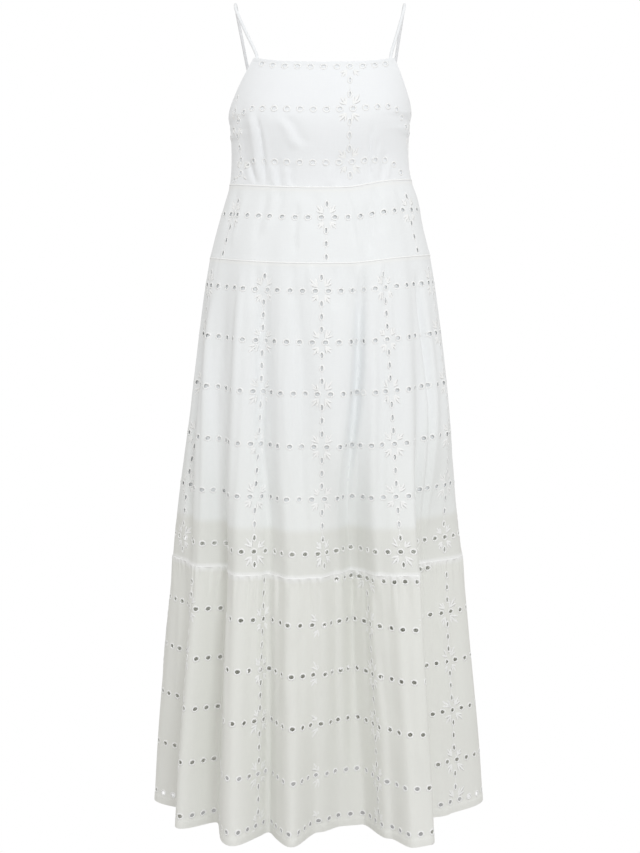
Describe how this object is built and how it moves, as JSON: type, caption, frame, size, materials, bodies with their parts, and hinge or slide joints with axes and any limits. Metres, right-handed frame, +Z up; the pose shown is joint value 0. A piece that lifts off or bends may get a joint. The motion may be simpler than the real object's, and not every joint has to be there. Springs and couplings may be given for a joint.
{
  "type": "maxi dress",
  "caption": "Long tiered sundress in eyelet cotton with narrow shoulder straps, darted bodice, gathered lower tier and skirt lining, in its worn shape.",
  "frame": {"origin": "midway between the tops of the two straps, where the wearer's shoulders hold the dress", "axes": "+Z up, the front of the dress faces -Y, +X to the right as seen from the front"},
  "size_m": [0.5748, 0.4508, 1.3607],
  "materials": {
    "eyelet_cotton": "white cotton voile with embroidered eyelets, slightly see-through",
    "lining_cotton": "plain white cotton lawn",
    "strap_cotton": "white cotton, sewn into a narrow tube"
  },
  "bodies": {
    "root": {"bodice_front": "eyelet_cotton", "bodice_back": "eyelet_cotton", "tier_one_front": "eyelet_cotton", "tier_one_back": "eyelet_cotton", "tier_two_front": "eyelet_cotton", "tier_two_back": "eyelet_cotton", "tier_three_front": "eyelet_cotton", "tier_three_back": "eyelet_cotton", "lining_front": "lining_cotton", "lining_back": "lining_cotton", "strap_left": "strap_cotton", "strap_right": "strap_cotton"}
  },
  "joints": []
}
